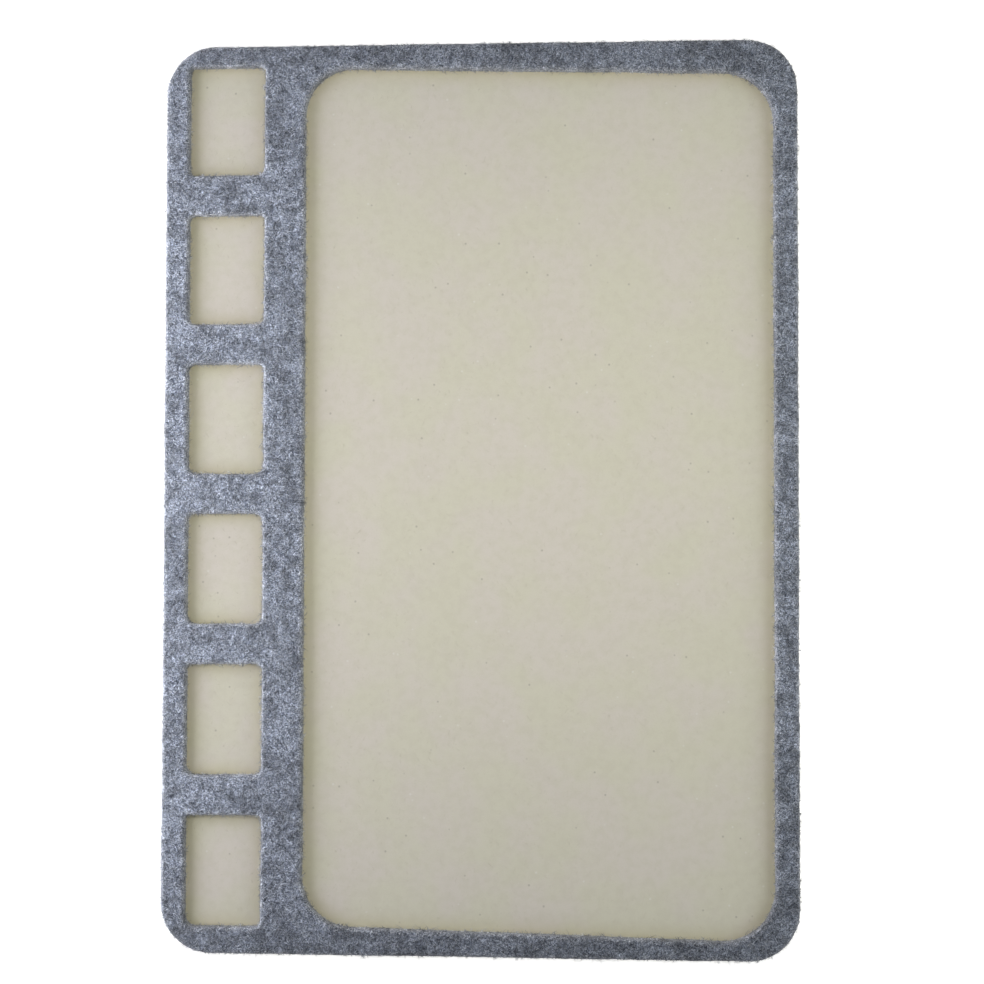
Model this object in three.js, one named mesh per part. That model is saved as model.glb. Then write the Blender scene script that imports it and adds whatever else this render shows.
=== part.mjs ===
// Bead mat: a springy cream work mat with a die-cut frame of grey needle felt bonded on top of it.
// The felt leaves one large work window open, and a column of small compartments beside it.
//
// Units are millimetres, +Z is up. The mat lies on its underside, with the origin under its middle,
// its length along Y and its compartments on the -X side.

import * as THREE from "three";

// Outline of the whole mat
const MAT_WIDTH = 201;
const MAT_LENGTH = 289;
const MAT_CORNER_RADIUS = 16;

// Windows cut through the felt: the borders are the felt left between a window and the mat's edge.
// The work window's ends aren't cut quite square: its right side lies lower than its left side.
const SIDE_BORDER = 7.4;
const WINDOW_UPPER_BORDER = 8.7;
const WINDOW_LOWER_BORDER = 7.1;
const WINDOW_FALL = 3.4;
const WINDOW_CORNER_RADIUS = 16;
const DIVIDER_WIDTH = 13;
const COMPARTMENT_COUNT = 6;
const COMPARTMENT_WIDTH = 24.4;
const COMPARTMENT_CORNER_RADIUS = 2;
const COMPARTMENT_UPPER_BORDER = 6.5;
const COMPARTMENT_LOWER_BORDER = 8.3;
const CROSS_BAR_WIDTH = 12.6;

// Layers, from the table up
const PLUSH_THICKNESS = 0.8;
const FOAM_THICKNESS = 1.6;
const BOND_THICKNESS = 0.15;
const FELT_THICKNESS = 3;
const LAYER_GAP = 0.05;

// Cut edges
const FELT_SHOULDER_RADIUS = 0.9;
const PLUSH_SHOULDER_RADIUS = 0.4;
const FOAM_WAIST = 0.3;
const BOND_SETBACK = 1.5;

// Facets
const MAT_CORNER_STEPS = 12;
const WINDOW_CORNER_STEPS = 10;
const COMPARTMENT_CORNER_STEPS = 5;
const SHOULDER_STEPS = 4;
const WAIST_STEPS = 4;

// A rectangle with round corners, given by its sides. Its ends slope, so that its right side lies lower
// than its left side by fall.
function roundedRectangle(left, right, bottom, top, radius, steps, fall = 0) {
  return { left, right, bottom, top, radius, steps, fall };
}

// The points of a rounded rectangle, anticlockwise, after every side has moved inwards by inset.
function outlinePoints(rectangle, inset) {
  const { left, right, bottom, top, radius, steps, fall } = rectangle;
  const quarterTurn = Math.PI / 2;
  const middle = (left + right) / 2;
  const arcCentres = [
    [right - radius, top - radius],
    [left + radius, top - radius],
    [left + radius, bottom + radius],
    [right - radius, bottom + radius],
  ];
  return arcCentres.flatMap(([x, y], corner) => {
    const start = corner * quarterTurn;
    const arcRadius = radius - inset;
    const arc = new THREE.EllipseCurve(x, y, arcRadius, arcRadius, start, start + quarterTurn);
    const points = arc.getPoints(steps);
    points.forEach((point) => (point.y -= (fall * (point.x - middle)) / (right - left)));
    return points;
  });
}

// A flat sheet with windows in it. The edge profile is a list of { inset, height } from the sheet's lower face
// to its upper face, carried round the outline and round every window: inset is how far the cut edge stands
// back into the material at that height.
function sheetGeometry(outline, windows, edgeProfile) {
  const levels = edgeProfile.map(({ inset }) => {
    const outer = outlinePoints(outline, inset);
    const holes = windows.map((window) => outlinePoints(window, -inset).reverse());
    return { outer, holes };
  });

  const positions = [];
  edgeProfile.forEach(({ height }, level) => {
    const loops = [levels[level].outer, ...levels[level].holes];
    loops.flat().forEach(({ x, y }) => positions.push(x, y, height));
  });

  const triangles = [];
  const loopSizes = [levels[0].outer, ...levels[0].holes].map((loop) => loop.length);
  const pointsPerLevel = loopSizes.reduce((sum, size) => sum + size, 0);

  // Cut edges, one band of quads between neighbouring levels
  for (let level = 0; level + 1 < levels.length; level++) {
    let loopStart = level * pointsPerLevel;
    for (const size of loopSizes) {
      for (let i = 0; i < size; i++) {
        const here = loopStart + i;
        const next = loopStart + ((i + 1) % size);
        triangles.push(here, next, next + pointsPerLevel);
        triangles.push(here, next + pointsPerLevel, here + pointsPerLevel);
      }
      loopStart += size;
    }
  }

  // Lower and upper faces
  const topLevel = levels.length - 1;
  const topStart = topLevel * pointsPerLevel;
  const lowerFace = THREE.ShapeUtils.triangulateShape(levels[0].outer, levels[0].holes);
  const upperFace = THREE.ShapeUtils.triangulateShape(levels[topLevel].outer, levels[topLevel].holes);
  lowerFace.forEach(([a, b, c]) => triangles.push(c, b, a));
  upperFace.forEach(([a, b, c]) => triangles.push(topStart + a, topStart + b, topStart + c));

  const geometry = new THREE.BufferGeometry();
  geometry.setAttribute("position", new THREE.Float32BufferAttribute(positions, 3));
  geometry.setIndex(triangles);
  geometry.computeVertexNormals();
  return geometry;
}

// A square-cut edge that stands back from the outline by setback.
function straightEdge(thickness, setback) {
  return [
    { inset: setback, height: 0 },
    { inset: setback, height: thickness },
  ];
}

// A cut edge whose upper shoulder the blade has rolled over to a quarter round.
function shoulderedEdge(thickness, radius) {
  const profile = [{ inset: 0, height: 0 }];
  for (let step = 0; step <= SHOULDER_STEPS; step++) {
    const turn = (step / SHOULDER_STEPS) * (Math.PI / 2);
    profile.push({
      inset: radius * (1 - Math.cos(turn)),
      height: thickness - radius + radius * Math.sin(turn),
    });
  }
  return profile;
}

// The same edge with its shoulder underneath.
function upsideDown(profile, thickness) {
  return profile.map(({ inset, height }) => ({ inset, height: thickness - height })).reverse();
}

// A cut foam edge, drawn in between its two faces by half a sine wave.
function waistedEdge(thickness, waist) {
  const profile = [];
  for (let step = 0; step <= WAIST_STEPS; step++) {
    const share = step / WAIST_STEPS;
    profile.push({ inset: waist * Math.sin(Math.PI * share), height: thickness * share });
  }
  return profile;
}

function layer(name, geometry, material, height) {
  const mesh = new THREE.Mesh(geometry, material);
  mesh.name = name;
  mesh.position.z = height;
  return mesh;
}

// Edges of the mat and of its windows
const matRight = MAT_WIDTH / 2;
const matLeft = -matRight;
const matTop = MAT_LENGTH / 2;
const matBottom = -matTop;
const compartmentLeft = matLeft + SIDE_BORDER;
const compartmentRight = compartmentLeft + COMPARTMENT_WIDTH;
const columnTop = matTop - COMPARTMENT_UPPER_BORDER;
const columnLength = columnTop - (matBottom + COMPARTMENT_LOWER_BORDER);
const compartmentPitch = (columnLength + CROSS_BAR_WIDTH) / COMPARTMENT_COUNT;
const compartmentLength = compartmentPitch - CROSS_BAR_WIDTH;

const matOutline = roundedRectangle(
  matLeft,
  matRight,
  matBottom,
  matTop,
  MAT_CORNER_RADIUS,
  MAT_CORNER_STEPS,
);

const workWindow = roundedRectangle(
  compartmentRight + DIVIDER_WIDTH,
  matRight - SIDE_BORDER,
  matBottom + WINDOW_LOWER_BORDER,
  matTop - WINDOW_UPPER_BORDER,
  WINDOW_CORNER_RADIUS,
  WINDOW_CORNER_STEPS,
  WINDOW_FALL,
);

const compartments = [];
for (let i = 0; i < COMPARTMENT_COUNT; i++) {
  const compartmentTop = columnTop - i * compartmentPitch;
  compartments.push(
    roundedRectangle(
      compartmentLeft,
      compartmentRight,
      compartmentTop - compartmentLength,
      compartmentTop,
      COMPARTMENT_CORNER_RADIUS,
      COMPARTMENT_CORNER_STEPS,
    ),
  );
}
const windows = [workWindow, ...compartments];

// Heights of the layers' undersides
const foamHeight = PLUSH_THICKNESS + LAYER_GAP;
const faceHeight = foamHeight + FOAM_THICKNESS + LAYER_GAP;
const bondHeight = faceHeight + PLUSH_THICKNESS + LAYER_GAP;
const feltHeight = bondHeight + BOND_THICKNESS + LAYER_GAP;

// Work mat: a thin soft foam sheet with cream short-pile plush on both sides
const plushEdge = shoulderedEdge(PLUSH_THICKNESS, PLUSH_SHOULDER_RADIUS);
const workMat = new THREE.Group();
workMat.add(
  layer(
    "plush_back",
    sheetGeometry(matOutline, [], upsideDown(plushEdge, PLUSH_THICKNESS)),
    new THREE.MeshStandardMaterial({ color: 0xd6cfbd, roughness: 0.95, metalness: 0 }),
    0,
  ),
  layer(
    "foam_core",
    sheetGeometry(matOutline, [], waistedEdge(FOAM_THICKNESS, FOAM_WAIST)),
    new THREE.MeshStandardMaterial({ color: 0xe3d9bb, roughness: 0.9, metalness: 0 }),
    foamHeight,
  ),
  layer(
    "plush_face",
    sheetGeometry(matOutline, [], plushEdge),
    new THREE.MeshStandardMaterial({ color: 0xd8d2c1, roughness: 0.95, metalness: 0 }),
    faceHeight,
  ),
);

// Felt top: the die-cut frame, and the adhesive web that holds it down, set back from every cut edge
const feltTop = new THREE.Group();
feltTop.add(
  layer(
    "frame_bond",
    sheetGeometry(matOutline, windows, straightEdge(BOND_THICKNESS, BOND_SETBACK)),
    new THREE.MeshStandardMaterial({ color: 0xe8e6df, roughness: 0.6, metalness: 0 }),
    bondHeight,
  ),
  layer(
    "felt_frame",
    sheetGeometry(matOutline, windows, shoulderedEdge(FELT_THICKNESS, FELT_SHOULDER_RADIUS)),
    new THREE.MeshStandardMaterial({ color: 0x80869a, roughness: 0.9, metalness: 0 }),
    feltHeight,
  ),
);

const beadMat = new THREE.Group();
beadMat.name = "bead_mat";
beadMat.add(workMat, feltTop);

export default beadMat;
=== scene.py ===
# Bead mat: a foam-cored mat in cream plush, with a die-cut frame of heather-grey needle felt bonded on top.
# Lengths are in metres. +Z is up, the mat's length is along Y, and its compartments are on the -X side.

import math

import bpy
import numpy as np
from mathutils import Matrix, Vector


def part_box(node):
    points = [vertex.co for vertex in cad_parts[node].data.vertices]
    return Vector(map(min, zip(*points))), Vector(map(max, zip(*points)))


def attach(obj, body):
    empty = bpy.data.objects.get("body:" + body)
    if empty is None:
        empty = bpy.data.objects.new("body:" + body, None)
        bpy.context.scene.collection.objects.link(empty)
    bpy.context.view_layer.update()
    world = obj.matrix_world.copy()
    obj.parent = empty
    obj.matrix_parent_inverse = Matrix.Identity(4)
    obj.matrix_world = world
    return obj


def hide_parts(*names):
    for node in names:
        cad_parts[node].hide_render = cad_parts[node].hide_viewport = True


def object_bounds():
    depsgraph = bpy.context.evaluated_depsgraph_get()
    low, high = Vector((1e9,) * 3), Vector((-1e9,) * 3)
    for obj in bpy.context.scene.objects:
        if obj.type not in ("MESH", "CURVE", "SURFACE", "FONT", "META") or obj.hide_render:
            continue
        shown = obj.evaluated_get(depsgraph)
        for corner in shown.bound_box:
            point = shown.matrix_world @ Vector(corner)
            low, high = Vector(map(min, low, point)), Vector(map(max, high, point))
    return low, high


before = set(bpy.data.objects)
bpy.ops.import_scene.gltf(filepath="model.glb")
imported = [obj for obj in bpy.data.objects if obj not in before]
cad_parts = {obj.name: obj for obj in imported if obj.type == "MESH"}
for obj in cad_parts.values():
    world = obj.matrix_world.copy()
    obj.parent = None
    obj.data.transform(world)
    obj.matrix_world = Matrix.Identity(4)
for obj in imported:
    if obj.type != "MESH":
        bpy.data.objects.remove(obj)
cad_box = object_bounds()
scene = bpy.context.scene

# Back skin of the work mat
# Short-pile cream plush on the underside, heat-bonded to the foam and die-cut together with it.
# Its pile faces the table, and the knife has rolled its cut edge.

MM = 0.001
MAT_CORNER_RADIUS = 16 * MM
PLUSH_SHOULDER = 0.4 * MM
PLUSH_PITCH = 1.3 * MM
PLUSH_SWELL_CELL = 9 * MM
PLUSH_SWELL_HEIGHT = 0.03 * MM
PLUSH_SWELL_SEED = 11
PLUSH_TUFT_CELL = 2.2 * MM
PLUSH_TUFT_HEIGHT = 0.012 * MM
PLUSH_TUFT_SEED = 12
BACK_RELIEF_SHARE = 0.5
SHOULDER_STEPS = 5
WALL_STEPS = 2
SNAP_STEPS = 3
SLOPE_STEP = 0.02 * MM
LATTICE_SIZE = 512
MAP_MARGIN = 6 * MM
# Left side, lower side and width of the lower face in the flat map
LOWER_FACE_MAP = (0.72, 0.01, 0.26)
CREAM_PLUSH = (0.776, 0.750, 0.621, 1)
CREAM_SHADED = (0.69, 0.655, 0.535, 1)
CREAM_ROSY = (0.792, 0.740, 0.666, 1)
CREAM_FLECK_DARK = (0.40, 0.375, 0.31, 1)
CREAM_FLECK_PALE = (0.92, 0.90, 0.85, 1)
# Painted shade: the warm, darker cream painted along the window edges where the felt walls shade the plush
CREAM_PAINTED_SHADE = (0.69, 0.62, 0.37, 1)
PILE_GRAIN_DEPTH = 0.06 * MM
PILE_GRAIN_STRENGTH = 0.5
PLUSH_FINISH = {
    "Roughness": 0.95,
    "Specular IOR Level": 0.15,
    "Sheen Weight": 0.12,
    "Sheen Roughness": 0.5,
    "Sheen Tint": (1, 0.96, 0.86, 1),
}

back_low, back_high = (np.array(corner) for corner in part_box("plush_back"))
mat_sides = (back_low[0], back_high[0], back_low[1], back_high[1])
mat_radii = (MAT_CORNER_RADIUS,) * 4


def rounded_distance(x, y, sides, radii):
    """Distance to a rectangle with round corners, negative inside it: the distance to the same rectangle
    drawn in by the nearest corner's radius, less that radius. The radii go anticlockwise from the upper
    right."""
    left, right, bottom, top = sides
    upper_right, upper_left, lower_left, lower_right = radii
    from_middle_x = x - (left + right) / 2
    from_middle_y = y - (bottom + top) / 2
    upper = np.where(from_middle_x > 0, upper_right, upper_left)
    lower = np.where(from_middle_x > 0, lower_right, lower_left)
    radius = np.where(from_middle_y > 0, upper, lower)
    past_x = np.abs(from_middle_x) - (right - left) / 2 + radius
    past_y = np.abs(from_middle_y) - (top - bottom) / 2 + radius
    corner = np.hypot(np.maximum(past_x, 0), np.maximum(past_y, 0))
    return corner + np.minimum(np.maximum(past_x, past_y), 0) - radius


def mat_distance(x, y):
    """Distance to the mat's outline, negative inside it."""
    return rounded_distance(x, y, mat_sides, mat_radii)


def slope(distance, x, y):
    """Unit vectors along which a distance grows fastest, from its differences over a small step."""
    across = distance(x + SLOPE_STEP, y) - distance(x - SLOPE_STEP, y)
    along = distance(x, y + SLOPE_STEP) - distance(x, y - SLOPE_STEP)
    length = np.maximum(np.hypot(across, along), np.finfo(float).tiny)
    return np.stack([across / length, along / length], axis=-1)


def soft_step(share):
    """A share from 0 to 1 with soft ends: 3t^2 - 2t^3."""
    return share ** 2 * (3 - 2 * share)


def lumps(x, y, cell, seed):
    """Soft random lumps from -1 to 1: random heights on a square lattice of that cell, blended between the
    lattice's points by soft steps."""
    heights = np.random.default_rng(seed).uniform(-1, 1, (LATTICE_SIZE, LATTICE_SIZE))
    column = np.floor(x / cell).astype(int)
    row = np.floor(y / cell).astype(int)
    blend_x = soft_step(x / cell - column)
    blend_y = soft_step(y / cell - row)
    here, right = column % LATTICE_SIZE, (column + 1) % LATTICE_SIZE
    low, high = row % LATTICE_SIZE, (row + 1) % LATTICE_SIZE
    lower = heights[here, low] * (1 - blend_x) + heights[right, low] * blend_x
    upper = heights[here, high] * (1 - blend_x) + heights[right, high] * blend_x
    return lower * (1 - blend_y) + upper * blend_y


def cut_grid(distance, sides, pitch):
    """A flat sheet cut along an edge: the squares of a grid whose middles have a negative distance. The
    corners on the cut move by -distance along its slope, onto the edge itself. Returns the points, the
    squares and the squares' own edges along the cut."""
    left, right, bottom, top = sides
    grid_x, grid_y = np.meshgrid(
        np.arange(left, right + pitch, pitch), np.arange(bottom, top + pitch, pitch), indexing="ij"
    )
    kept = distance(grid_x[:-1, :-1] + pitch / 2, grid_y[:-1, :-1] + pitch / 2) < 0
    number = np.arange(grid_x.size).reshape(grid_x.shape)
    corners = [number[:-1, :-1], number[1:, :-1], number[1:, 1:], number[:-1, 1:]]
    used, squares = np.unique(np.stack(corners, axis=-1)[kept], return_inverse=True)
    squares = squares.reshape(-1, 4)
    points = np.column_stack([grid_x.ravel()[used], grid_y.ravel()[used]])
    starts = squares.ravel()
    ends = np.roll(squares, -1, axis=1).ravel()
    alone = ~np.isin(starts * len(points) + ends, ends * len(points) + starts)
    cut = np.column_stack([starts[alone], ends[alone]])
    rim = np.unique(cut)
    for _ in range(SNAP_STEPS):
        x, y = points[rim].T
        points[rim] -= distance(x, y)[:, None] * slope(distance, x, y)
    return points, squares, cut


def at_height(flat, height):
    """Flat points (x, y) raised to a height each, as (x, y, z)."""
    return np.concatenate([flat, np.broadcast_to(height, flat.shape[:-1])[..., None]], axis=-1)


def rolled_sheet(distance, sides, pitch, profile):
    """A flat sheet with a shaped edge. Its faces are cut grids, and the profile, a list of (reach, height)
    from the upper face's rim to the lower one's, is carried round every cut edge, square to it. The flat
    map has the upper face at scale, the edges folded out round it, and the lower face small beside it."""
    reach = profile[:, 0]
    flat, squares, cut = cut_grid(lambda x, y: distance(x, y) + reach.max(), sides, pitch)
    rim, cut = np.unique(cut, return_inverse=True)
    starts, ends = cut.reshape(-1, 2).T
    outward = slope(distance, *flat[rim].T)
    rings = at_height(flat[rim] + reach[:, None, None] * outward, profile[:, 1, None])
    inner_rings = len(rings) - 2
    points = np.vstack([
        at_height(flat, profile[0, 1]),
        at_height(flat, profile[-1, 1]),
        rings[1:-1].reshape(-1, 3),
    ])
    numbers = np.vstack([
        rim,
        2 * len(flat) + np.arange(inner_rings * len(rim)).reshape(inner_rings, -1),
        len(flat) + rim,
    ])

    def band_corners(rows):
        """The four corners of every quad between neighbouring rings of the edge."""
        return np.stack([rows[1:, starts], rows[1:, ends], rows[:-1, ends], rows[:-1, starts]], axis=2)

    faces = np.vstack([squares, squares[:, ::-1] + len(flat), band_corners(numbers).reshape(-1, 4)])
    steps = np.hypot(*np.diff(profile, axis=0).T)
    folded = flat[rim] + np.concatenate([[0], np.cumsum(steps)])[:, None, None] * outward
    left, right, bottom, top = sides
    corner = np.array([left, bottom])
    whole = top - bottom + 2 * MAP_MARGIN
    upper_map = (flat + MAP_MARGIN - corner) / whole
    lower_left, lower_bottom, lower_width = LOWER_FACE_MAP
    lower_map = (flat - corner) * lower_width / (right - left) + (lower_left, lower_bottom)
    band_map = (band_corners(folded).reshape(-1, 4, 2) + MAP_MARGIN - corner) / whole
    flat_map = np.vstack([upper_map[squares], lower_map[squares[:, ::-1]], band_map])
    return points, faces, flat_map


def shoulder_profile(low, high, radius):
    """The cut edge of a sheet as (reach, height), from its upper face's rim: a quarter circle of that
    radius, then straight down, then back under the sheet."""
    turn = np.linspace(0, math.pi / 2, SHOULDER_STEPS)
    roll = np.column_stack([radius * np.sin(turn), high - radius + radius * np.cos(turn)])
    wall_heights = np.linspace(high - radius, low, WALL_STEPS + 1)[1:]
    wall = np.column_stack([np.full(WALL_STEPS, radius), wall_heights])
    return np.vstack([roll, wall, [[0, low]]])


def add_piece(name, points, faces, maps, material):
    """A smooth mesh object at the origin, from its points, its faces as arrays of point numbers, and its UV
    maps with a (u, v) for each corner of each face."""
    mesh = bpy.data.meshes.new(name)
    sizes = np.concatenate([np.full(len(rows), rows.shape[1]) for rows in faces])
    corners = np.concatenate([rows.ravel() for rows in faces])
    mesh.vertices.add(len(points))
    mesh.vertices.foreach_set("co", points.ravel().astype(np.float32))
    mesh.loops.add(len(corners))
    mesh.loops.foreach_set("vertex_index", corners.astype(np.int32))
    mesh.polygons.add(len(sizes))
    mesh.polygons.foreach_set("loop_start", (np.cumsum(sizes) - sizes).astype(np.int32))
    mesh.polygons.foreach_set("use_smooth", np.ones(len(sizes), bool))
    mesh.update(calc_edges=True)
    for map_name, places in maps.items():
        layer = mesh.uv_layers.new(name=map_name)
        layer.data.foreach_set("uv", places.ravel().astype(np.float32))
    mesh.validate()
    mesh.materials.append(material)
    piece = bpy.data.objects.new(name, mesh)
    scene.collection.objects.link(piece)
    return piece


def raise_along_normals(piece, relief):
    """Moves every point of a piece along its normal by relief(x, y, z)."""
    vertices = piece.data.vertices
    points = np.empty(len(vertices) * 3, np.float32)
    normals = np.empty_like(points)
    vertices.foreach_get("co", points)
    piece.data.vertex_normals.foreach_get("vector", normals)
    points = points.reshape(-1, 3)
    moved = points + normals.reshape(-1, 3) * relief(*points.T.astype(float))[:, None]
    vertices.foreach_set("co", moved.ravel().astype(np.float32))
    piece.data.update()


def set_inputs(tree, node, inputs):
    """Sets each named input of a shader node to a value, or links it to a socket."""
    for name, value in inputs.items():
        if isinstance(value, bpy.types.NodeSocket):
            tree.links.new(value, node.inputs[name])
        else:
            node.inputs[name].default_value = value


def add_node(tree, kind, inputs=None, **settings):
    """A shader node with its settings and its inputs."""
    node = tree.nodes.new(kind)
    for name, value in settings.items():
        setattr(node, name, value)
    set_inputs(tree, node, inputs or {})
    return node


def blend_colours(tree, share, first, second):
    """The socket of a colour that goes from first to second as share goes from 0 to 1."""
    node = add_node(tree, "ShaderNodeMix", {0: share, 6: first, 7: second}, data_type="RGBA")
    return node.outputs[2]


def combine(tree, operation, *values):
    """The socket of a sum, product or other arithmetic on values or sockets."""
    node = add_node(tree, "ShaderNodeMath", dict(enumerate(values)), operation=operation)
    return node.outputs[0]


def stretch(tree, value, ends):
    """The socket of a value stretched from the range between two ends to 0..1, softly at both."""
    inputs = {"Value": value, "From Min": ends[0], "From Max": ends[1]}
    return add_node(tree, "ShaderNodeMapRange", inputs, interpolation_type="SMOOTHSTEP").outputs[0]


def speckle(tree, place, size, detail=1.0):
    """The socket of a smooth random value whose patches are about that size."""
    node = add_node(tree, "ShaderNodeTexNoise", {"Vector": place, "Scale": 1 / size, "Detail": detail})
    return node.outputs["Fac"]


def new_material(name):
    """A material's node tree, its Principled shader and the socket of Object coordinates."""
    material = bpy.data.materials.new(name)
    material.use_nodes = True
    tree = material.node_tree
    place = add_node(tree, "ShaderNodeTexCoord").outputs["Object"]
    return material, tree, tree.nodes["Principled BSDF"], place


def new_effect(name, outputs):
    """An empty shader node group with those outputs, a float or a colour each, and its output node."""
    effect = bpy.data.node_groups.new(name, "ShaderNodeTree")
    for output, kind in outputs.items():
        effect.interface.new_socket(output, in_out="OUTPUT", socket_type=kind)
    place = add_node(effect, "ShaderNodeTexCoord").outputs["Object"]
    return effect, add_node(effect, "NodeGroupOutput"), place


def read_map(tree, name):
    """The sockets X and Y of the two values that a piece's own UV map holds."""
    values = add_node(tree, "ShaderNodeUVMap", uv_map=name).outputs["UV"]
    return add_node(tree, "ShaderNodeSeparateXYZ", {"Vector": values}).outputs


def bumped(tree, height, depth, strength, sunken=False):
    """The socket of a normal bumped by a height of that depth, raised or sunken."""
    inputs = {"Height": height, "Distance": depth, "Strength": strength}
    return add_node(tree, "ShaderNodeBump", inputs, invert=sunken).outputs["Normal"]


# The nap of the plush: faint rosy patches, tufts a shade darker, a very fine grain of pile ends, and a few
# flecks of lint
NAP_PATCH = 18 * MM
NAP_PATCH_DETAIL = 4.0
NAP_PATCH_RANGE = (0.36, 0.64)
NAP_TUFT = 2.6 * MM
NAP_TUFT_DETAIL = 3.0
NAP_TUFT_RANGE = (0.35, 0.75)
NAP_TUFT_SHADE = 0.35
NAP_TUFT_SINK = 0.6
NAP_GRAIN = 0.32 * MM
NAP_GRAIN_DETAIL = 2.0
NAP_PIT_RANGE = (0.55, 0.3)
NAP_PIT_SHADE = 0.2
NAP_FLECK_SPACING = 5 * MM
NAP_FLECK_TONE_RANGE = (0.5, 0.6)
NAP_FLECK_RANGE = (0.1, 0.03)
NAP_FLECK_SHARE = 0.5
tree, nap_out, place = new_effect("plush_nap", {"Colour": "NodeSocketColor", "Height": "NodeSocketFloat"})
rosy = stretch(tree, speckle(tree, place, NAP_PATCH, NAP_PATCH_DETAIL), NAP_PATCH_RANGE)
shaded = stretch(tree, speckle(tree, place, NAP_TUFT, NAP_TUFT_DETAIL), NAP_TUFT_RANGE)
grain = speckle(tree, place, NAP_GRAIN, NAP_GRAIN_DETAIL)
pale = blend_colours(tree, rosy, CREAM_PLUSH, CREAM_ROSY)
tuft_shade = combine(tree, "MULTIPLY", shaded, NAP_TUFT_SHADE)
tufted = blend_colours(tree, tuft_shade, pale, CREAM_SHADED)
pits = combine(tree, "MULTIPLY", stretch(tree, grain, NAP_PIT_RANGE), NAP_PIT_SHADE)
pitted = blend_colours(tree, pits, tufted, CREAM_SHADED)
flecks = add_node(tree, "ShaderNodeTexVoronoi", {"Vector": place, "Scale": 1 / NAP_FLECK_SPACING})
fleck_kind = add_node(tree, "ShaderNodeSeparateXYZ", {"Vector": flecks.outputs["Color"]}).outputs["X"]
fleck_tone = stretch(tree, fleck_kind, NAP_FLECK_TONE_RANGE)
fleck_colour = blend_colours(tree, fleck_tone, CREAM_FLECK_DARK, CREAM_FLECK_PALE)
on_fleck = stretch(tree, flecks.outputs["Distance"], NAP_FLECK_RANGE)
fleck = combine(tree, "MULTIPLY", on_fleck, NAP_FLECK_SHARE)
nap_colour = blend_colours(tree, fleck, pitted, fleck_colour)
nap_height = combine(tree, "ADD", grain, combine(tree, "MULTIPLY", shaded, -NAP_TUFT_SINK))
set_inputs(tree, nap_out, {"Colour": nap_colour, "Height": nap_height})
plush_nap = tree


def plush_material(name):
    """Cream plush: the nap's colour, painted darker and warmer as shade towards a window's edge where the
    felt wall shades the pile, a soft bump of its pile ends, and the pale sheen of upright fibre."""
    material, tree, shader, _ = new_material(name)
    nap = add_node(tree, "ShaderNodeGroup", node_tree=plush_nap)
    pressed = read_map(tree, "pressed")["X"]
    colour = blend_colours(tree, pressed, nap.outputs["Colour"], CREAM_PAINTED_SHADE)
    normal = bumped(tree, nap.outputs["Height"], PILE_GRAIN_DEPTH, PILE_GRAIN_STRENGTH)
    set_inputs(tree, shader, {"Base Color": colour, "Normal": normal, **PLUSH_FINISH})
    return material


def plush_relief(x, y, z):
    """Height of the pile over its mean: wide swells and small tufts."""
    swell = PLUSH_SWELL_HEIGHT * lumps(x, y + z, PLUSH_SWELL_CELL, PLUSH_SWELL_SEED)
    return swell + PLUSH_TUFT_HEIGHT * lumps(x - z, y + z, PLUSH_TUFT_CELL, PLUSH_TUFT_SEED)


back_profile = shoulder_profile(back_low[2], back_high[2], PLUSH_SHOULDER)
back_profile = np.column_stack([back_profile[:, 0], back_low[2] + back_high[2] - back_profile[:, 1]])[::-1]
points, faces, flat_map = rolled_sheet(mat_distance, mat_sides, PLUSH_PITCH, back_profile)
back_maps = {"OFBake": flat_map, "pressed": np.zeros_like(flat_map)}
plush_back = add_piece("plush_back_skin", points, [faces], back_maps, plush_material("cream_plush_back"))
raise_along_normals(plush_back, lambda x, y, z: BACK_RELIEF_SHARE * np.minimum(plush_relief(x, y, z), 0))
mat_area = (mat_sides[1] - mat_sides[0]) * (mat_sides[3] - mat_sides[2])
mat_area -= (4 - math.pi) * MAT_CORNER_RADIUS ** 2
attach(plush_back, "root")
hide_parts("plush_back")

# Foam core
# A thin sheet of open-cell foam between the two skins, which lets a needle pick up a bead.
# Only its cut rim shows, drawn in at the waist by the knife and open with torn cells.

FOAM_WAIST = 0.3 * MM
RIM_STEP = 0.3 * MM
FOAM_ROWS = 8
FOAM_CELL = 0.5 * MM
FOAM_CELL_SEED = 21
FOAM_FINE_CELL = 0.26 * MM
FOAM_FINE_SEED = 22
FOAM_FINE_SHARE = 0.5
FOAM_CELL_DEPTH = 0.16 * MM
FOAM_CAP_SHARES = (0.97, 0.5)
CORNER_POINTS = 40
FOAM_PALE = (0.74, 0.68, 0.52, 1)
# Painted shade: the hollow of each torn cell is painted dark
FOAM_HOLLOW_SHADE = (0.42, 0.35, 0.21, 1)
FOAM_WALL_RANGE = (0.15, 0.65)
FOAM_BUMP_DEPTH = 0.2 * MM
FOAM_BUMP_STRENGTH = 0.8
FOAM_FINISH = {"Roughness": 0.9, "Specular IOR Level": 0.2}


def rim_path(sides, radii, step):
    """Points spaced evenly round a rectangle with round corners, anticlockwise from its right side: four
    quarter circles joined by straight lines, measured along their length."""
    left, right, bottom, top = sides
    turn = np.linspace(0, math.pi / 2, CORNER_POINTS)
    centres = [(right, top, -1, -1), (left, top, 1, -1), (left, bottom, 1, 1), (right, bottom, -1, 1)]
    arcs = []
    for quarter, (radius, (x, y, inward_x, inward_y)) in enumerate(zip(radii, centres)):
        angle = turn + quarter * math.pi / 2
        middle = np.array([x + inward_x * radius, y + inward_y * radius])
        arcs.append(middle + radius * np.column_stack([np.cos(angle), np.sin(angle)]))
    loop = np.vstack(arcs + [arcs[0][:1]])
    run = np.concatenate([[0], np.cumsum(np.hypot(*np.diff(loop, axis=0).T))])
    even = np.linspace(0, run[-1], int(run[-1] / step), endpoint=False)
    return np.column_stack([np.interp(even, run, loop[:, 0]), np.interp(even, run, loop[:, 1])]), even


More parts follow.
